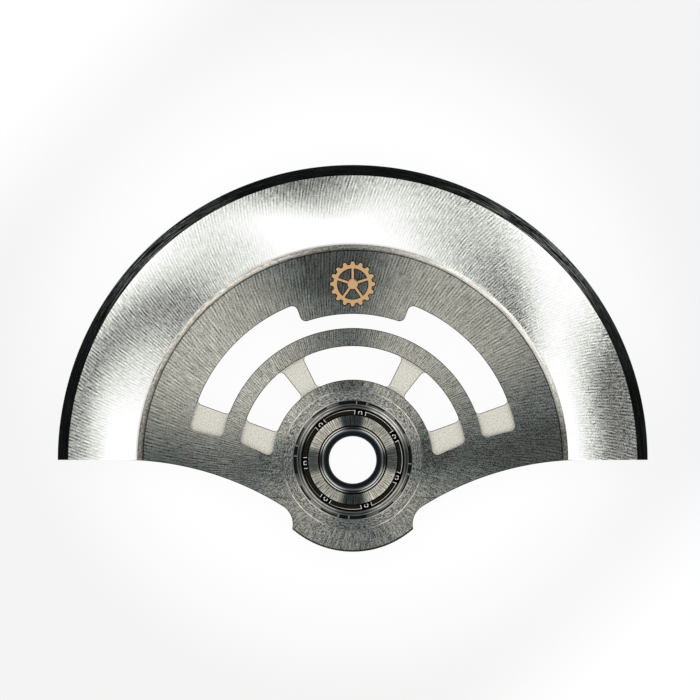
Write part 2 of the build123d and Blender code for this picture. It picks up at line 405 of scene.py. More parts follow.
half_ring = turned(
    "heavy_half_ring",
    [
        (segment_inner, flange_top), (segment_inner, plate_top + bevel_step), *face_points(10),
        (rotor_radius, bevel_foot), (rotor_radius, lower_chamfer), (rotor_radius - lower_chamfer, 0),
        (seat_radius, 0), (seat_radius, flange_top),
    ],
    steps=512,
)


def halve(piece, point, normal):
    """Cuts a piece with a plane, keeps the side that the normal points to and closes the cut."""
    open_up(piece)
    bpy.ops.mesh.bisect(plane_co=point, plane_no=normal, use_fill=True, clear_inner=True)
    bpy.ops.object.mode_set(mode="OBJECT")


halve(half_ring, (0, 0, 0), (0, 1, 0))
break_edges(half_ring, 0.015, segments=2)

# %% [markdown]
# ## Patterns on metal
# Brushed and turned metal is a pattern of scratches in one direction. Noise that changes fast across
# the scratches and slowly along them gives it. On this rotor the scratches run from the axis outwards
# or round it, so the noise reads the radius and the angle instead of X and Y. An image would do too,
# but noise has no end and no seam. The same noise lifts the surface a little, as real scratches do.

# %% Finish
class Finish(Sheet):
    """A metal finish: the sheet of a material that reads its place about the rotor's axis."""

    def __init__(self, name):
        super().__init__(bpy.data.materials.new(name))
        axes = self.axes("Object")
        self.x = axes["X"] / MM
        self.y = axes["Y"] / MM
        self.height = axes["Z"] / MM
        self.radius = (self.x * self.x + self.y * self.y) ** 0.5
        self.angle = self.y.math("ARCTAN2", self.x).math("WRAP", 1.5 * pi, -0.5 * pi)
        self.degrees = self.angle * (180 / pi)

    def noise(self, x, y, z=0.0, detail=2.0, roughness=0.5):
        """Noise from 0 to 1 that changes about once per unit of each wire."""
        place = self.add("ShaderNodeCombineXYZ", {"X": x, "Y": y, "Z": z})["Vector"]
        sockets = {"Vector": place, "Scale": 1.0, "Detail": detail, "Roughness": roughness}
        return self.add("ShaderNodeTexNoise", sockets)["Fac"]

    def grain(self, size, **kind):
        """Noise without a direction, with so many grains to a millimetre."""
        return self.noise(self.x * size, self.y * size, self.height * size, **kind)

    def lines(self, along, outwards, z=0.0, **kind):
        """Noise in lines: it changes so often to a radian round the axis and to a millimetre outwards."""
        return self.noise(self.angle * along, self.radius * outwards, z, **kind)

    def fan(self, first, sharpness):
        """Four lobes about the axis, each 1 in its middle. The first one is at an angle in degrees."""
        return ((self.degrees - first) * (pi / 45)).math("COSINE").rise(-1, 1) ** sharpness

    def lobe(self, angle, ahead, behind, start=0.0, drift=0.0, bend=0.0):
        """One lobe, 1 in its middle, with a width on either side of it. The middle is at an angle where
        the radius is start, and drifts as that grows. Angles and widths are in degrees."""
        further = self.radius - start
        away = self.degrees - angle - further * (further * bend + drift)
        reach = (away / ahead).math("MAXIMUM", away / (behind * -1.0))
        return (reach * reach * -1).math("EXPONENT")

    def brushing(self, spacing, reach, lean=0.0, curl=0.0):
        """Scratches from the axis outwards, from about -1 to 1, with a spacing in radians. They lean by
        so many radians a millimetre, and by more as they go on outwards from the plate."""
        further = self.radius - plate_radius
        turn = self.angle + further * (further * curl + lean)
        wander = self.noise(turn * 11, self.radius * 0.5)
        even = ((turn / spacing + wander * 1.6) * (2 * pi)).math("COSINE")
        wear = self.noise(turn * (0.6 / spacing), self.radius * reach, 5.0)
        rough = self.noise(turn * (1.9 / spacing), self.radius * reach * 1.2, detail=2.5, roughness=0.65)
        return even * (wear.rise(0.3, 0.7) * 0.7) + (rough - 0.5) * 2.4

    def speckle(self, size):
        """Rough grain, from about -0.5 to 0.5, with so many grains to a millimetre."""
        return self.grain(size, roughness=0.75) - 0.5

    def toned(self, colour, tone):
        """The colour times a grey tone that is a wire."""
        grey = self.add("ShaderNodeCombineColor", {"Red": tone, "Green": tone, "Blue": tone})["Color"]
        return self.mix(1.0, colour, grey, "MULTIPLY")

    def metal(self, colour, roughness, relief=None, metallic=1.0):
        """Puts the colour, the roughness and the relief, in millimetres, on the shader."""
        shader = self.nodes["Principled BSDF"]
        self.put(shader, "Base Color", colour)
        self.put(shader, "Roughness", roughness)
        self.put(shader, "Metallic", metallic)
        if relief is not None:
            lifted = self.add("ShaderNodeBump", {"Height": relief, "Distance": MM, "Strength": 1.0})
            self.put(shader, "Normal", lifted["Normal"])
        return self.owner


print("finishes read lengths in millimetres and angles in radians")

# %% [markdown]
# ## Finishes of the half ring
# The face is brushed from the axis outwards. Its sheen is painted into its colour: dark lobes start at the
# diagonals by the inner edge and drift to the axes of the picture by the outer edge, because the face is
# crowned.

# %% Brushed face
finish = Finish("brushed_alloy_face")
radius = finish.radius
inner = 10.35
further = (radius - inner).math("MAXIMUM", 0.1)
patches = finish.noise(finish.x * 0.5, finish.y * 0.5) - 0.5
# Painted sheen: dark lobes of reflection drawn into the face's colour, with the streaks painted stronger
# where it is dark.
left_width = radius.rise(12.3, 13.4) * 22 + 19
left = finish.lobe(136.5, left_width, further * 2.4 + 11, inner, 0.0, 2.95) * 0.70
beside_left = finish.lobe(118.5, 8.3, 8.3, inner, 1.8) * 0.19
high = finish.lobe(90, further * 4.4, further * 5.4, inner, 3.8) * radius.rise(11.0, 13.4) * 0.80
beside_high = finish.lobe(69, 5, 45, inner, 2.8) * 0.09
right = finish.lobe(41.8, 22, 9.5, inner, 7.9) * (0.65 - radius.rise(10.4, 12.7) * 0.28)
low_width = 13 - radius.rise(12, 13.2) * 2.5
low = finish.lobe(4, low_width, 200, inner, 5.2) * radius.rise(10.4, 12.6) * 0.83
corner = finish.lobe(181, 8, 9) * (radius.rise(11.5, 12.4) - radius.rise(12.5, 13.1) * 0.65) * 0.28
dark = left + beside_left + corner + high + beside_high + right + low + patches * 0.10
dark = dark.math("MAXIMUM", 0.0)
brushing = finish.brushing(0.01176, 2.4, 0.0105, 0.0022)
rightward = finish.x.rise(4, 9)
strokes = brushing * (0.93 - rightward * 0.18) + finish.speckle(19) * (rightward * 1.8 + 2.7)
strokes = strokes * ((finish.x * -1).rise(6, 11) * 0.17 + finish.x.rise(0, 5) * 0.28 + 1.57)
tone = (1.03 - dark) * (strokes * dark + 1.0)
shade = finish.mix(dark.rise(0.0, 0.35), (0.985, 0.985, 0.975), (0.965, 0.98, 0.92))
tone = tone.math("MAXIMUM", 0.04).math("MINIMUM", 1.0)
worn = (finish.lobe(100, 28, 28) + finish.lobe(176, 20, 20)) * (1.0 - radius.rise(10.27, 10.33))
colour = finish.mix(worn * 0.6, finish.toned(shade, tone), (0.46, 0.445, 0.40))
brushed_face = finish.metal(colour, 0.45, brushing * 0.0015)

# %% Dark turned bevel
finish = Finish("dark_turned_bevel")
# The bevel is near black as a painted dark reflection, and its turned streaks are painted lighter towards
# 46° and 133° as glints.
lines = finish.lines(7, 24, detail=3.0, roughness=0.75)
dashes = finish.lines(60, 14, 3.0)
fan = finish.lobe(46, 16, 14) * 0.85 + finish.lobe(133, 14, 14) * 0.5 + 0.03
bright = (lines - 0.5).rise(-0.03, 0.10) * (dashes.rise(0.3, 0.6) * 0.6 + 0.4) * fan
colour = finish.mix(bright, (0.002, 0.0032, 0.0028), (0.36, 0.39, 0.37))
dark_bevel = finish.metal(colour, 0.42, lines * 0.003)

# %% Scraped inner bevel
finish = Finish("scraped_inner_bevel")
radius = finish.radius
grain = finish.lines(90, 14, detail=3.0, roughness=0.7)
lines = finish.lines(6, 34)
torn = finish.lines(26, 9, 7.0).rise(0.5, 0.62)
# Painted sheen: lighter on the right and darker in lobes at 0°, 93° and 181°, with the grain stronger in
# those lobes.
painted_dark_lobes = finish.lobe(0, 17, 17) * 1.35 + finish.lobe(93, 15, 19) + finish.lobe(181, 24, 28)
rightward = finish.x.rise(-5, 5)
colour = finish.mix(rightward, (0.85, 0.81, 0.725), (0.985, 0.965, 0.89))
colour = finish.mix(painted_dark_lobes * 0.9, colour, (0.14, 0.138, 0.12))
colour = finish.mix((lines - 0.5).rise(-0.02, 0.10) * 0.5, colour, (0.17, 0.155, 0.13))
colour = finish.mix(torn * (0.6 - rightward * 0.45), colour, (0.20, 0.165, 0.13))
# Painted shadow: darker at the bevel's foot by the plate, least so towards 40°, and a little darker along
# its upper edge.
deep = 0.55 - finish.lobe(40, 32, 38) * 0.3
step = radius.rise(9.97, 10.09) * deep - radius.rise(10.14, 10.20) * 0.20 - deep + 1.0
tone = ((grain - 0.5) * (painted_dark_lobes * 3.4 + 1.4) + 1.0).math("MAXIMUM", 0.2) * step
scraped_bevel = finish.metal(finish.toned(colour, tone), 0.4, grain * 0.003)

# %% Turned sides and underside
finish = Finish("turned_alloy")
lines = finish.lines(2, 14, finish.height * 14, detail=3.0, roughness=0.6)
colour = finish.mix(lines, (0.20, 0.205, 0.20), (0.42, 0.42, 0.41))
turned_alloy = finish.metal(colour, 0.36, lines * 0.005)

# %% Put the finishes on the half ring
def dress(piece, finishes, choose):
    """Gives the piece its finishes, and each face the one that choose names for its middle and normal."""
    names = list(finishes)
    for name in names:
        piece.data.materials.append(finishes[name])
    for face in piece.data.polygons:
        face.material_index = names.index(choose(piece.matrix_world @ face.center, face.normal))


def half_ring_zone(middle, normal):
    radius = hypot(middle.x, middle.y)
    if normal.z > 0.9 and radius > face_inner:
        return "face"
    if normal.z > 0.3 and radius > face_outer:
        return "outer"
    if normal.z > 0.3 and radius < face_inner + 0.02:
        return "inner"
    return "side"


finishes = {"face": brushed_face, "outer": dark_bevel, "inner": scraped_bevel, "side": turned_alloy}
dress(half_ring, finishes, half_ring_zone)
settle(half_ring, "rotor", "heavy_alloy", "heavy_segment")

# %% [markdown]
# ## Rivets
# Five short rivets hold the half ring on the plate's flange, from below. A rivet starts as a cylinder,
# the shank. Its lower end is drawn out sideways for the head, then down, and the head's rim is pulled
# in to round it. One rivet is modelled, and the other four are copies of it.

# %% Rivet steel
def spun_steel(name, light, dark):
    """Steel with fine lines round the axis, and a painted sheen that makes it lighter on the diagonals."""
    finish = Finish(name)
    lines = finish.lines(1.5, 40, finish.height * 40)
    colour = finish.mix(lines.rise(0.35, 0.65) * 0.5 + finish.fan(0, 2.0) * 0.5, light, dark)
    return finish.metal(colour, 0.28, lines * 0.003)

# %% Rivets
rivet_circle = 10.675
rivet_angles = 18, 54, 90, 126, 162
shank_top = 1.44
shank_radius = 0.30
head_radius = 0.48
head_bottom = 0.83


def polar(radius, angle, level=0.0):
    """Point at a radius and an angle about the axis."""
    return Vector((radius * cos(radians(angle)), radius * sin(radians(angle)), level))


def shaft(name, radius, bottom, top, centre=(0, 0), steps=256):
    """Cylinder between two levels, open in edit mode."""
    place = centre[0], centre[1], (bottom + top) / 2
    add = bpy.ops.mesh.primitive_cylinder_add
    return begin(name, add, vertices=steps, radius=radius, depth=top - bottom, location=place)


def copies(piece, name, places):
    """The piece, which is at the first place, and a copy with its own mesh at each further one."""
    pieces = [piece]
    for number, place in enumerate(places[1:], start=2):
        only(piece)
        bpy.ops.object.duplicate(linked=False)
        other = bpy.context.object
        other.name = other.data.name = f"{name}_{number}"
        other.location = place
        pieces.append(other)
    return pieces


rivet_places = [polar(rivet_circle, angle, (plate_bottom + shank_top) / 2) for angle in rivet_angles]
rivet = shaft("rivet_1", shank_radius, plate_bottom, shank_top, rivet_places[0], steps=48)
pick(rivet, "FACE", lambda middle, normal: normal.z < -0.9)
head = [
    (shank_radius, plate_bottom), (head_radius, plate_bottom), (head_radius, head_bottom + 0.05),
    (head_radius * 0.92, head_bottom + 0.015), (head_radius * 0.92 * 0.80, head_bottom),
]
draw(head, rivet_places[0])
close_up()
break_edges(rivet, 0.012)
rivet.data.materials.append(spun_steel("turned_rivet_steel", (0.60, 0.60, 0.58), (0.28, 0.28, 0.27)))
for piece in copies(rivet, "rivet", rivet_places):
    settle(piece, "rotor", "rivet_steel", "segment_rivets")

# %% [markdown]
# ## Cutters
# The plate is a flat blank with slots, sunk floors and a stepped hole. Each opening is cut with a
# boolean, as a mill cuts it: first the cutter is modelled, then taken away from the blank. A sector
# starts as a ring, which two planes trim. Its corners are bevelled while it is still flat, because a
# mill has a radius, and the fine points beside each corner go first, or they would stop the bevel.

# %% Cutters
def trim(angle, lean, side, middle):
    """Cuts the flat ring in edit mode along a line through the middle radius at an angle."""
    along = polar(1, angle + lean)
    normal = (-along.y * side, along.x * side, 0)
    bpy.ops.mesh.select_all(action="SELECT")
    bpy.ops.mesh.bisect(plane_co=polar(middle, angle), plane_no=normal, clear_inner=True)


def round_corners(piece, radius, chosen=lambda place: True):
    """Rounds the corners of a flat outline in edit mode."""
    mesh = bmesh.from_edit_mesh(piece.data)
    turns = [(vertex.co.copy(), abs(vertex.calc_edge_angle(0))) for vertex in mesh.verts]
    corners = [(place, turn) for place, turn in turns if turn > radians(30) and chosen(place)]
    for place, turn in corners:
        reach = radius * tan(turn / 2)
        bpy.ops.mesh.select_mode(type="VERT")
        if pick(piece, "VERT", lambda point, _: 0.001 < (point - place).length < 1.15 * reach):
            bpy.ops.mesh.dissolve_verts()
        pick(piece, "VERT", lambda point, _: (point - place).length < 0.001)
        bpy.ops.mesh.bevel(offset=reach, segments=8, affect="VERTICES", clamp_overlap=False)


def flat_sector(name, inner, outer, start, end, level, tilt=0.0):
    """Flat piece of a ring between two angles, as one face, open in edit mode."""
    piece = circle(name, inner, level, 720)
    draw([(inner, level), (outer, level)])
    trim(start, tilt, 1, (inner + outer) / 2)
    trim(end, -tilt, -1, (inner + outer) / 2)
    bpy.ops.mesh.select_all(action="SELECT")
    bpy.ops.mesh.dissolve_faces()
    return piece


def thicken(height):
    """Extrudes the flat outline in edit mode by a height and closes it."""
    bpy.ops.mesh.select_mode(type="FACE")
    bpy.ops.mesh.select_all(action="SELECT")
    bpy.ops.mesh.extrude_region_move(TRANSFORM_OT_translate={"value": (0, 0, height)})
    close_up()


def sector(name, inner, outer, start, end, bottom, top, corner=0.0, tilt=0.0):
    """Solid piece of a ring between two angles, with rounded corners."""
    piece = flat_sector(name, inner, outer, start, end, bottom, tilt)
    if corner:
        round_corners(piece, corner)
    thicken(top - bottom)
    return piece


def drum(name, radius, bottom, top, centre=(0, 0), steps=256):
    """Solid cylinder between two levels."""
    piece = shaft(name, radius, bottom, top, centre, steps)
    close_up()
    return piece


def block(name, size, middle):
    """Box about a middle, open in edit mode."""
    piece = begin(name, bpy.ops.mesh.primitive_cube_add, size=1, location=middle)
    bpy.ops.transform.resize(value=size)
    return piece


def combine(piece, operation, *tools):
    """Joins the tools, which are clear of each other, adds them or takes them away, and deletes them."""
    only(tools[0])
    for tool in tools:
        tool.select_set(True)
    if len(tools) > 1:
        bpy.ops.object.join()
    modify(piece, "BOOLEAN", operation=operation, solver="EXACT", object=tools[0])
    bpy.data.objects.remove(tools[0])
    open_up(piece)
    bpy.ops.mesh.remove_doubles(threshold=0.003)
    bpy.ops.mesh.dissolve_degenerate(threshold=0.0005)
    bpy.ops.object.mode_set(mode="OBJECT")


def carve(piece, *tools):
    """Takes the tools away from the piece."""
    combine(piece, "DIFFERENCE", *tools)


print("cutters ready")

# %% [markdown]
# ## Plate blank
# Seen from above the blank is a half disc, a skirt that curves in below it and a lobe round the
# bearing. The half disc, a bar and the lobe's disc are joined. Each side of the skirt is then cut by a
# large circle that runs smoothly into the small circle of the notch beside the lobe.

# %% Plate blank
flange_radius = 11.40
lobe_radius = 4.36
notch_radius = 1.0
notch_centre = polar(lobe_radius + 0.55, -38.4)
skirt_start = 11.0
skirt_depth = 2.4
cut_bottom = 0.5
cut_top = 2.0

plate = drum("carrier_plate_top", flange_radius, plate_bottom, plate_top, steps=720)
halve(plate, (0, 0, 0), (0, 1, 0))
bar_size = 2 * skirt_start, 2 * skirt_depth, plate_top - plate_bottom
bar = block("bar", bar_size, (0, 0, (plate_bottom + plate_top) / 2))
bpy.ops.mesh.bisect(plane_co=(0, 0.5, 0), plane_no=(0, -1, 0), use_fill=True, clear_inner=True)
close_up()
lobe = drum("lobe", lobe_radius, plate_bottom, plate_top, steps=512)
combine(plate, "UNION", bar)
combine(plate, "UNION", lobe)

# %% Skirt and notches
across = skirt_start - notch_centre.x
below_axis = -notch_centre.y
skirt_radius = (across**2 + below_axis**2 - notch_radius**2) / (2 * (below_axis - notch_radius))
skirt_centre = Vector((skirt_start, -skirt_radius, 0))
towards_notch = (notch_centre - skirt_centre).normalized()

for side in (1, -1):
    centre = side * skirt_centre.x, skirt_centre.y
    skirt = drum("skirt", skirt_radius, cut_bottom, cut_top, centre, steps=2048)
    centre = side * notch_centre.x, notch_centre.y
    halve(skirt, (*centre, 0), (side * towards_notch.y, -towards_notch.x, 0))
    notch = drum("notch", notch_radius, cut_bottom - 0.1, cut_top + 0.1, centre)
    carve(plate, skirt)
    carve(plate, notch)
print("skirt radius", round(skirt_radius, 2), "mm")

# %% [markdown]
# ## Slots, floors and the stepped hole
# Two arc slots lighten the plate. Their ends and two spokes lie sunk, with frosted floors. The tab
# under the gilt wheel narrows the outer slot. In the middle a stepped hole takes the bearing, and four
# notches beside its ledge let the bearing's lugs through, as in a bayonet. Between the notches the
# ledge has narrow pockets, which show as short black arcs.

# %% Slots and sunk floors
inner_slot = 3.81, 5.40
outer_slot = 6.26, 7.86
tab_radius = 6.93
tab_half_angle = 20.2
slot_corner = 0.22
recess_corner = 0.24
recess_floor = 1.20
outer_recess_ends = 10.2, 169.8
inner_recess_ends = 5.9, 174.1
outer_tilt = 3.5
inner_tilt = 19.5

outer_recess = flat_sector("outer_recess", *outer_slot, *outer_recess_ends, recess_floor, outer_tilt)
round_corners(outer_recess, recess_corner)
thicken(cut_top - recess_floor)
keep_ends = 90 - 2 * tab_half_angle, 90 + 2 * tab_half_angle
keep = sector("keep", 6.0, 8.2, *keep_ends, recess_floor - 0.2, cut_top + 0.5)
carve(outer_recess, keep)
levels = recess_floor, cut_top
inner_recess = sector("inner_recess", *inner_slot, *inner_recess_ends, *levels, recess_corner, inner_tilt)
carve(plate, outer_recess, inner_recess)

# %% Windows
spoke_angles = 57.65, 122.35
spoke_half = 6.25
window_start = 20
window_end = 160
tab_corner = 0.28

outer_window = flat_sector("outer_window", *outer_slot, window_start, window_end, cut_bottom)
thicken(cut_top - cut_bottom)
tab_ends = 90 - tab_half_angle, 90 + tab_half_angle
tab = sector("tab", tab_radius, 9.0, *tab_ends, cut_bottom - 0.2, cut_top + 0.2)
carve(outer_window, tab)
open_up(outer_window)
pick(outer_window, "FACE", lambda middle, normal: normal.z < 0.9)
bpy.ops.mesh.delete(type="FACE")
bpy.ops.mesh.select_all(action="SELECT")
bpy.ops.mesh.dissolve_limited(angle_limit=radians(0.05))
round_corners(outer_window, slot_corner, lambda place: abs(place.x) > 4)
round_corners(outer_window, tab_corner, lambda place: abs(place.x) < 4)
thicken(cut_bottom - cut_top)

windows = [outer_window]
starts = window_start, *(angle + spoke_half for angle in spoke_angles)
ends = *(angle - spoke_half for angle in spoke_angles), window_end
for start, end in zip(starts, ends):
    windows.append(sector("inner_window", *inner_slot, start, end, cut_bottom, cut_top, slot_corner))
carve(plate, *windows)

# %% Stepped hole, notches and rivet holes
bore_radius = 2.68
ledge_radius = 2.82
ledge_level = 1.25
sink_radius = 3.30
sink_level = 1.37
turned_edge = 0.04
lug_start = 75.4
lug_span = 11.1
notch_span = 17.3
pocket_ring = 2.72, 2.80
fit = 0.005

hole = shaft("stepped_hole", bore_radius, cut_bottom, ledge_level, steps=720)
pick(hole, "FACE", lambda middle, normal: normal.z > 0.9)
draw(
    [
        (bore_radius, ledge_level), (ledge_radius, ledge_level),
        (ledge_radius, sink_level - turned_edge / 2), (ledge_radius + turned_edge, sink_level),
        (sink_radius, sink_level), (sink_radius + turned_edge, plate_top),
        (sink_radius + 2 * turned_edge, plate_top + 0.1),
    ]
)
close_up()
carve(plate, hole)

holes = []
for quarter in range(4):
    start = lug_start + lug_span + 90 * quarter
    holes.append(sector("lug_notch", 2.5, ledge_radius, start, start + notch_span, cut_bottom, 1.9))
    for turn in (30, 60):
        ends = start + turn, start + turn + notch_span
        holes.append(sector("pocket", *pocket_ring, *ends, 1.1, 1.9))
for place in rivet_places:
    holes.append(drum("rivet_hole", shank_radius + fit, cut_bottom, plate_top + 0.1, place, steps=48))
carve(plate, *holes)
step = [(plate_radius, flange_top), (12.5, flange_top), (12.5, cut_top), (plate_radius, cut_top)]
carve(plate, turned("step", step, steps=720))
print("plate", len(plate.data.polygons), "faces before its edges are broken")

# %% [markdown]
# ## Gilt wheel
# Above the tab a small gilt train wheel is let into the plate: a toothed rim, five spokes and a hub.
# A circle with six points to each tooth becomes toothed when three of every six are pushed outwards.
# The same shape, a hair larger, cuts the pocket, so a fine line shows round the inlay.

# %% Toothed disc
def toothed(name, root, tip, count, bottom, top, y=0.0):
    """Toothed disc: of each tooth's six points, the three at its tip are pushed outwards."""
    wheel = circle(name, root, bottom, 6 * count, y, "NGON")
    pitch = 360 / count

    def at_tip(point, _):
        turn = degrees(atan2(point.y, point.x)) % pitch
        return min(turn, pitch - turn) < 0.25 * pitch

    pick(wheel, "VERT", at_tip)
    bpy.ops.transform.resize(value=(tip / root, tip / root, 1), center_override=(0, y, bottom))
    thicken(top - bottom)
    return wheel

# %% Gilt wheel
gilt_y = 8.35
gilt_rim = 0.92
gilt_tip = 1.07
gilt_gap = 0.74
gilt_hub = 0.25
gilt_spoke = 0.12
gilt_teeth = 16
gilt_spokes = 5
gilt_floor = 1.34
gilt_play = 0.008


def gilt_shape(name, bottom, top, grow):
    """The wheel between two levels, each of its outlines wider by what it grows."""
    wheel = toothed(name, gilt_rim + grow, gilt_tip + grow, gilt_teeth, bottom, top, gilt_y)
    gap = drum("gap", gilt_gap - grow, bottom - 0.1, top + 0.1, (0, gilt_y), steps=96)
    hub = drum("hub", gilt_hub + grow, bottom - 0.2, top + 0.2, (0, gilt_y), steps=64)
    carve(gap, hub)
    for number in range(gilt_spokes):
        spoke = block("spoke", (1.2, gilt_spoke + 2 * grow, 2.0), (0.7, gilt_y, plate_top))
        turn = -radians(90 + 360 / gilt_spokes * number)
        bpy.ops.transform.rotate(value=turn, orient_axis="Z", center_override=(0, gilt_y, 0))
        close_up()
        carve(gap, spoke)
    carve(wheel, gap)
    return wheel


pocket = gilt_shape("pocket", gilt_floor, cut_top, gilt_play)
carve(plate, pocket)
gilt_wheel = gilt_shape("gilt_train_wheel", gilt_floor, plate_top, 0.0)
break_edges(gilt_wheel, 0.012)


def left_sharp(middle):
    """Whether an edge belongs to the stepped hole, or runs out into the wall of a sunk floor."""
    radius = hypot(middle.x, middle.y)
    walls = [abs(radius - wall) for wall in (*inner_slot, *outer_slot)]
    return radius < sink_radius + 0.1 or abs(middle.z - recess_floor) < 0.01 and min(walls) < 0.08


break_edges(plate, 0.03, spared=left_sharp)

# %% Gilt
finish = Finish("matte_gilt")
grain = finish.noise(finish.x * 24, finish.y * 24, detail=3.0)
colour = finish.mix(grain.rise(0.25, 0.75), (0.49, 0.31, 0.165), (0.63, 0.41, 0.22))
gilt = finish.metal(colour, 0.5, grain * 0.002)

gilt_wheel.data.materials.append(gilt)
settle(gilt_wheel, "rotor", "gilt", "gilt_wheel")

# %% [markdown]
# ## Finishes of the plate
# The top is brushed from the axis outwards, with its sheen painted into its colour, the sunk floors are
# frosted, and the zone round the bearing is turned with a fine grain. Walls and underside are plain
# milled metal, but the chamfers round the slots and the walls of the stepped hole are painted near black
# as shade.

# %% Brushed plate
finish = Finish("brushed_plate")
radius = finish.radius
upward = finish.y / radius
up = upward.rise(-0.35, 0.35)
outer = radius.rise(6, 8)
patches = finish.noise(finish.x * 0.5, finish.y * 0.5, 3.0) - 0.5
leftward = (finish.x / radius * -1).rise(-0.2, 0.87)
# Painted sheen and shade: lighter on the upper half and most on the upper left, dark lobes along the axes,
# darker towards the bottom and beside the hub's upper side, and a thin painted shadow line along the lobe's
# lower edge.
light = up * (leftward * 0.07 + 0.104) + outer * up * 0.03 + 0.24
lobes = finish.lobe(6, 28, 21) * 0.28 + finish.lobe(94, 25, 16) * 0.29 + finish.lobe(177, 23, 17) * 0.24
lobes = lobes * (outer * 0.2 + 0.8) + finish.lobe(96, 32, 28) * radius.rise(7.4, 8.8) * 0.08
lower = (upward * -1).rise(0.8, 1.0) * 0.075
lower = lower + finish.lobe(-79, 7, 8) * 0.02 - finish.lobe(249, 9, 9) * 0.03
near = 1.0 - radius.rise(4.2, 4.8)
streaks = (finish.lines(44, 2.6, 9.0, detail=3.0) - 0.5) * (near * 1.4 + 0.5)
rim = radius.rise(4.26, 4.30) * (finish.y * -1).rise(3.0, 3.3)
tone = (light - lobes - lower - near * up * 0.045 + patches * 0.08).math("MAXIMUM", 0.07)
brushing = finish.brushing(0.0160, 1.3, 0.0196)
shade = finish.mix(tone.rise(0.07, 0.30), (0.92, 1.0, 0.925), (1.01, 1.0, 0.88))
coarse = finish.x.rise(2, 7) * (1.0 - tone.rise(0.08, 0.22))
strokes = brushing * (0.68 - coarse * 0.26) + streaks
strokes = strokes + finish.speckle(17) * (near * 1.6 + coarse * 1.6 + 2.6)
strokes = strokes * (1.35 - tone.rise(0.08, 0.25) * 0.35) * (1.2 - outer * 0.2)
tone = tone * (strokes + 1.0).math("MAXIMUM", 0.2) * (1.0 - rim * 0.9)
brushed_plate = finish.metal(finish.toned(shade, tone), 0.42, brushing * 0.0015)

# %% Frosted floors
finish = Finish("frosted_floor")
grain = finish.noise((finish.x + finish.y) * 11, (finish.x - finish.y) * 11, detail=3.0, roughness=0.75)
specks = (0.34 - grain).rise(0.0, 0.05)
colour = finish.mix(grain.rise(0.3, 0.7), (0.45, 0.43, 0.38), (0.76, 0.735, 0.66))
colour = finish.mix(specks * 0.5, colour, (0.20, 0.185, 0.16))
frosted = finish.metal(colour, 0.62, grain * 0.004, metallic=0.6)

# %% Grained ring round the bearing
finish = Finish("grained_ring")
grain = finish.lines(24, 19, detail=3.0, roughness=0.65) - 0.5
upper = finish.y.rise(-2, 2) * 0.06
# Painted sheen: darker along the axes, and painted lighter on the upper half.
colour = finish.mix(finish.fan(0, 1.3), (0.225, 0.22, 0.197), (0.10, 0.11, 0.105))
colour = finish.mix(upper, colour, (1.0, 0.99, 0.93))
tone = (grain * 8.0 + 1.0).math("MAXIMUM", 0.1)
grained = finish.metal(finish.toned(colour, tone), 0.45, grain * 0.003)

# %% Turned edges and the dark rims of the slots
finish = Finish("bright_turned_edge")
# The pale colour is a painted highlight on the turned edges, varied by noise, dimmer inside about 3 mm, and
# painted near black along the axes as shade.
wear = finish.noise(finish.angle * 9, finish.height * 20)
light = finish.mix(wear.rise(0.35, 0.65), (0.52, 0.51, 0.47), (0.90, 0.89, 0.82))
light = finish.mix(finish.radius.rise(2.9, 3.2), (0.40, 0.395, 0.365), light)
bright_edge = finish.metal(finish.mix(finish.fan(0, 1.5), light, (0.10, 0.105, 0.10)), 0.4)

finish = Finish("turned_ledge")
# Painted sheen: pale on the diagonals, near black along the axes.
lines = finish.lines(4, 30, detail=1.0)
colour = finish.mix(finish.fan(0, 1.2), (0.26, 0.255, 0.23), (0.03, 0.035, 0.035))
turned_ledge = finish.metal(finish.toned(colour, (lines - 0.5) * 2.0 + 1.0), 0.4)


def mottled(name, size, dark, light, roughness, relief=None):
    """Metal with a grain that has no direction."""
    finish = Finish(name)
    grain = finish.grain(size)
    return finish.metal(finish.mix(grain, dark, light), roughness, relief and grain * relief)

# %% Milled metal
finish = Finish("milled_plate")
lines = finish.lines(2.5, 22, finish.height * 40, detail=3.0, roughness=0.6)
colour = finish.mix(lines.rise(0.25, 0.75), (0.20, 0.205, 0.19), (0.44, 0.44, 0.41))
milled = finish.metal(colour, 0.33, lines * 0.004)

# %% Put the finishes on the plate
def plate_zone(middle, normal):
    radius = hypot(middle.x, middle.y)
    turn = degrees(atan2(middle.y, middle.x))
    if normal.z < 0.9:
        if normal.z < 0.3:
            return "rim" if radius < 2.9 and normal.z > -0.3 else "milled"
        beside_floor = middle.z > recess_floor + 0.1 and abs(abs(turn - 90) - 77) < 7.2 and 3.7 < radius < 8
        if radius < sink_radius + 0.1:
            return "edge"
        if radius > plate_radius - 0.1:
            return "brushed"
        return "milled" if beside_floor else "rim"
    if middle.z > plate_top - 0.01:
        return "brushed"
    if middle.z > sink_level - 0.01:
        return "grained"
    if middle.z > ledge_level - 0.01:
        return "ledge"
    return "frosted" if sink_radius < radius < 8.5 else "rim"


finishes = {
    "brushed": brushed_plate,
    "frosted": frosted,
    "grained": grained,
    "edge": bright_edge,
    "ledge": turned_ledge,
    # The chamfers round the slots and the walls of the stepped hole are painted near black, as shade.
    "rim": mottled("dark_slot_rim", 6, (0.010, 0.012, 0.011), (0.05, 0.052, 0.048), 0.45, 0.002),
    "milled": milled,
}
dress(plate, finishes, plate_zone)
settle(plate, "rotor", "plate_metal", "carrier_plate")

# %% [markdown]
# ## Bearing
# From outside inwards the bearing has a ring with four lugs, a cage with seven balls, a brushed cone
# and the core with the bore. Each is turned from its real section, races included, because the gaps
# between them show as the fine bright and dark rings of the photograph.

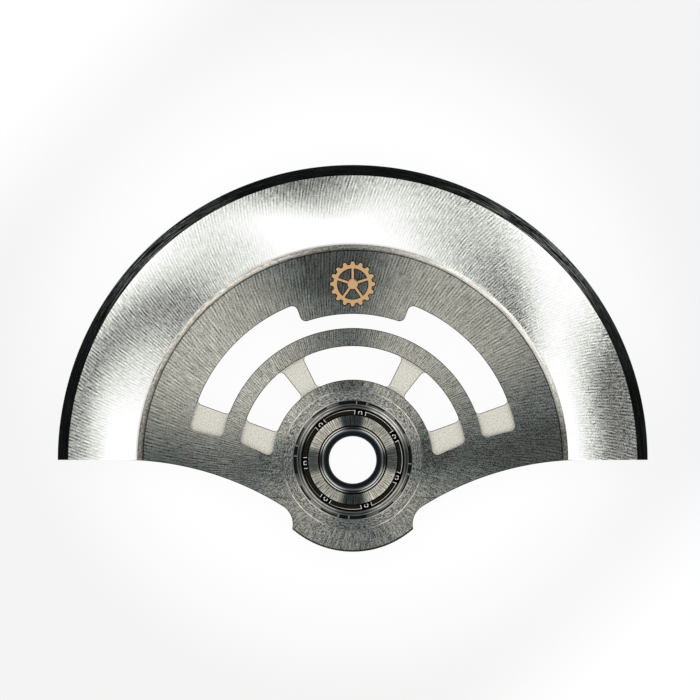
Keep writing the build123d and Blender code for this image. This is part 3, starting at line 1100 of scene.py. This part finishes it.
# %% Outer ring
ball_level = 1.0
ball_circle = 2.25
race_depth = 0.29445
outer_lip = 2.43
outer_lip_rise = 0.19834
ring_radius = 2.67
ring_bottom = 0.40
ring_top = 1.37
ring_flange = 3.05
gear_bottom = 0.46
gear_top = 0.70
shield_inner = 2.17
shield_top = 0.44
groove_level = ring_top - 0.02
outer_land = 2.605, 2.650
inner_land = 2.470, 2.530
land_slope = 0.005

outer_ring = turned(
    "bearing_outer_ring_turned",
    [
        (shield_inner, ring_bottom), (ring_radius, ring_bottom), (ring_radius, gear_top),
        (ring_flange, gear_top), (ring_flange, plate_bottom), (ring_radius, plate_bottom),
        (ring_radius, groove_level), (outer_land[1], ring_top), (outer_land[0], ring_top),
        (outer_land[0] - land_slope, groove_level), (inner_land[1] + land_slope, groove_level),
        (inner_land[1], ring_top), (inner_land[0], ring_top), (outer_lip, ring_top - 0.04),
        (outer_lip, ball_level + outer_lip_rise), (ball_circle + race_depth, ball_level),
        (outer_lip, ball_level - outer_lip_rise), (outer_lip, shield_top), (shield_inner, shield_top),
    ],
)
for quarter in range(4):
    start = lug_start + 90 * quarter
    lug = sector("lug", 2.645, ledge_radius - 0.02, start, start + lug_span, ledge_level, ring_top)
    combine(outer_ring, "UNION", lug)
break_edges(outer_ring, 0.005, spared=lambda middle: middle.z > plate_bottom + 0.1)

# %% Bearing steels
finish = Finish("bearing_ring_steel")
# Painted sheen on the lands: lighter towards 50°, near black along the axes; the grooves between the lands
# are painted darker as shade.
lines = finish.lines(5, 14, detail=1.0)
dark = finish.fan(0, 1.2)
to_window = finish.lobe(50, 30, 30)
colour = finish.mix(to_window, (0.50, 0.49, 0.45), (0.78, 0.77, 0.71))
colour = finish.mix(dark, colour, (0.085, 0.094, 0.090))
raised = finish.height.rise(ring_top - 0.017, ring_top - 0.003) * 0.65 + 0.35
tone = ((lines - 0.5) * 1.6 + 1.0).math("MAXIMUM", 0.1) * raised
ring_steel = finish.metal(finish.toned(colour, tone), 0.35, lines * 0.001)

# Near black as painted shade, and bright at both ends of each lug.
finish = Finish("dark_lug_steel")
middle = finish.degrees - (lug_start + lug_span / 2)
from_end = middle.math("WRAP", 45.0, -45.0).math("ABSOLUTE") - lug_span / 2
bright_ends = (from_end.math("ABSOLUTE") / -0.4).math("EXPONENT")
lug_steel = finish.metal(finish.mix(bright_ends, (0.006, 0.008, 0.008), (0.60, 0.61, 0.59)), 0.35)


def ring_zone(middle, normal):
    if middle.z > groove_level - 0.001 and normal.z > 0.7:
        return "lug" if hypot(middle.x, middle.y) > ring_radius else "land"
    return "below" if normal.z < -0.5 else "dark"


# Surfaces seen only down the narrow gaps between the bearing's parts are painted near black, as shade.
painted_shade_steel = mottled("oiled_dark_steel", 5, (0.010, 0.011, 0.010), (0.028, 0.028, 0.025), 0.35)
below_steel = spun_steel("turned_bearing_steel", (0.58, 0.58, 0.56), (0.26, 0.26, 0.25))
ring_finishes = {"land": ring_steel, "lug": lug_steel, "below": below_steel, "dark": painted_shade_steel}
dress(outer_ring, ring_finishes, ring_zone)
settle(outer_ring, "rotor", "bearing_steel", "bearing_outer_ring")

# %% Drive gear
gear_root = 3.335
gear_tip = 3.565
gear_tooth_count = 60

gear = toothed("drive_gear_toothed", gear_root, gear_tip, gear_tooth_count, gear_bottom, gear_top)
carve(gear, drum("gear_bore", ring_radius + fit, 0.2, 1.0))
break_edges(gear, 0.01)

finish = Finish("gear_brass")
lines = finish.lines(2, 20, finish.height * 20, detail=3.0)
brass = finish.metal(finish.mix(lines, (0.52, 0.36, 0.13), (0.76, 0.58, 0.28)), 0.3, lines * 0.004)

gear.data.materials.append(brass)
settle(gear, "rotor", "gear_metal", "drive_gear")

# %% Core and cone
screw_bore = 1.12
foot_radius = 1.90
foot_level = 0.50
core_lip = 2.21
core_top = 1.44
core_radius = 1.58
cone_top = 1.42
inner_lip = 2.12
inner_lip_rise = 0.28473
chamfer_radius = 1.41
chamfer_bottom = 1.18

core = turned(
    "bearing_core_turned",
    [
        (screw_bore, 0), (foot_radius, 0), (foot_radius, foot_level), (core_lip, foot_level),
        (core_lip, foot_level + 0.04), (inner_lip, foot_level + 0.04),
        (inner_lip, ball_level - inner_lip_rise), (ball_circle - race_depth, ball_level),
        (core_radius, ball_level), (core_radius, core_top - 0.01), (1.575, core_top), (1.530, core_top),
        (1.520, core_top - 0.04), (1.485, core_top - 0.04), (1.475, core_top), (1.438, core_top),
        (chamfer_radius, core_top - 0.01), (screw_bore, chamfer_bottom),
    ],
    steps=192,
)
break_edges(core, 0.004, spared=lambda middle: middle.z > 1.3)
cone = turned(
    "bearing_cone_brushed",
    [
        (core_radius + fit, ball_level), (ball_circle - race_depth, ball_level),
        (inner_lip, ball_level + inner_lip_rise), (inner_lip, cone_top - 0.01),
        (inner_lip - 0.01, cone_top), (1.655, cone_top), (core_radius + fit, cone_top - 0.06),
    ],
    steps=192,
)
break_edges(cone, 0.004)

# %% Brushed cone, polished core and black chamfer
finish = Finish("brushed_cone")
brushing = finish.brushing(0.055, 1.8)
# Painted sheen: near black along the axes, and a little darker towards the upper right and lower left.
dark = (finish.fan(1, 2.6) + brushing * 0.12).rise(0.10, 0.90)
across = finish.x / finish.radius
deep = finish.mix(across * across, (0.028, 0.034, 0.032), (0.068, 0.073, 0.066))
glint = 1.0 - across * (finish.y / finish.radius) * 0.26
tone = (brushing + finish.speckle(16) * 1.6 + 1.0).math("MAXIMUM", 0.15) * glint
colour = finish.mix(dark, (0.345, 0.335, 0.285), deep)
brushed_cone = finish.metal(finish.toned(colour, tone), 0.4, brushing * 0.001)

# Almost black as a painted dark reflection, with painted highlights where the chamfer rounds into the bore
# and into the top.
finish = Finish("black_polished_chamfer")
smudge = finish.grain(3)
colour = finish.mix(smudge, (0.009, 0.012, 0.013), (0.014, 0.017, 0.021))
inside = (1.0 - finish.radius.rise(screw_bore, 1.225)) * 0.32
outside = finish.radius.rise(1.32, 1.43) ** 2 * 0.28
black_polish = finish.metal(finish.mix(inside + outside, colour, (0.55, 0.58, 0.59)), 0.2)

finish = Finish("core_land_steel")
# Painted sheen: bright on the diagonals, near black along the axes.
lines = finish.lines(3, 20)
glint = 1.0 - finish.fan(0, 2.0)
colour = finish.mix(glint, (0.03, 0.034, 0.034), (0.72, 0.71, 0.66))
core_land = finish.metal(finish.toned(colour, (lines - 0.5) * 0.8 + 1.0), 0.35)


def core_zone(middle, normal):
    radius = hypot(middle.x, middle.y)
    if radius < 1.43 and middle.z > 1.1:
        return "chamfer"
    if normal.z < -0.5 or radius < 1.2 or middle.z < 0.51 and radius < 1.95:
        return "below"
    return "land" if middle.z > 1.435 and normal.z > 0.9 else "dark"


core_finishes = {"land": core_land, "dark": painted_shade_steel, "chamfer": black_polish, "below": below_steel}
dress(core, core_finishes, core_zone)
cone_finishes = {"top": brushed_cone, "dark": painted_shade_steel}
dress(cone, cone_finishes, lambda middle, normal: "top" if normal.z > 0.9 else "dark")
settle(core, "core", "bearing_steel", "bearing_core")
settle(cone, "core", "bearing_steel", "bearing_cone")

# %% [markdown]
# ## Cage and balls
# The cage keeps the balls apart. It is a dark ring with a thin lip outside, a pocket for each ball and a
# thin bar on either side of each pocket. The tops of the lip and the bars are painted bright as
# highlights, so the bars are the bright ticks beside each ball, and the lip's highlight is painted darker
# on the left as shade.

# %% Cage
ball_count = 7
first_ball = 80.9
ball_radius = 0.25
ball_turns = [first_ball + 360 / ball_count * number for number in range(ball_count)]
ball_places = [polar(ball_circle, turn, ball_level) for turn in ball_turns]
cage_inner = 2.15
cage_outer = 2.36
cage_lip = 2.335
cage_bottom = 0.58
cage_top = 1.27
tray_top = 1.16
pocket_play = 0.02
cage_bar = 0.20, 0.032, 0.14
bar_offset = 0.258

cage = turned(
    "ball_cage_trays",
    [
        (cage_inner, cage_bottom), (cage_outer, cage_bottom), (cage_outer, cage_top),
        (cage_lip, cage_top), (cage_lip, tray_top), (cage_inner, tray_top),
    ],
)
for place in ball_places:
    add = bpy.ops.mesh.primitive_uv_sphere_add
    size = ball_radius + pocket_play
    pocket = begin("pocket", add, segments=48, ring_count=24, radius=size, location=place)
    pick(pocket, "FACE", lambda middle, normal: middle.z > 0)
    draw([(size, ball_level), (size, ball_level + 1.0)], place)
    close_up()
    carve(cage, pocket)
for turn in ball_turns:
    for side in (1, -1):
        middle = ball_circle + 0.005, side * bar_offset, cage_top - cage_bar[2] / 2
        bar = block("bar", cage_bar, middle)
        bpy.ops.transform.rotate(value=-radians(turn), orient_axis="Z", center_override=(0, 0, 0))
        close_up()
        combine(cage, "UNION", bar)
break_edges(cage, 0.005)

finish = Finish("bright_cage_edge")
# Painted highlight on the tops of the lip and the bars, with the lip painted darker on the left as shade.
lip = finish.radius.rise(cage_lip - 0.003, cage_lip + 0.002)
leftward = finish.x / finish.radius * -1
shadow = leftward.rise(0.0, 0.5) * 0.62 + leftward.rise(0.85, 0.97) * 0.36
cage_bright = finish.metal(finish.mix(lip * shadow, (0.82, 0.81, 0.76), (0.01, 0.009, 0.007)), 0.4)

bronze = mottled("dark_cage", 20, (0.010, 0.009, 0.006), (0.024, 0.020, 0.014), 0.45, 0.004)
cage_finishes = {"dark": bronze, "bright": cage_bright}
dress(cage, cage_finishes, lambda middle, normal: "bright" if middle.z > cage_top - 0.01 else "dark")
settle(cage, "cage", "cage_bronze", "ball_cage")

# %% Balls
# Polished steel, with the lamps' reflection painted on as a small bright ring round a dark middle, at any
# turn of the ball.
finish = Finish("polished_ball")
pitch = 2 * pi / ball_count
turn = (finish.angle - radians(first_ball)).math("WRAP", pitch / 2, -pitch / 2)
out = finish.radius * turn.math("COSINE") - ball_circle
side = finish.radius * turn.math("SINE")
reach = (out * out + side * side) ** 0.5
painted_reflection_ring = reach.rise(0.064, 0.076) - reach.rise(0.094, 0.108)
polished_ball = finish.metal(finish.mix(painted_reflection_ring, (0.012, 0.012, 0.012), (0.44, 0.44, 0.425)), 0.14)

add = bpy.ops.mesh.primitive_cube_add
ball = begin("bearing_ball_1", add, size=2 * ball_radius, location=ball_places[0])
bpy.ops.mesh.subdivide(number_cuts=11)
bpy.ops.object.mode_set(mode="OBJECT")
modify(ball, "CAST", cast_type="SPHERE", factor=1.0, size=ball_radius, use_radius_as_size=False)
bpy.ops.object.shade_smooth()
ball.data.materials.append(polished_ball)
for number, piece in enumerate(copies(ball, "bearing_ball", ball_places), start=1):
    settle(piece, f"ball_{number}", "ball_steel", f"ball_{number}")
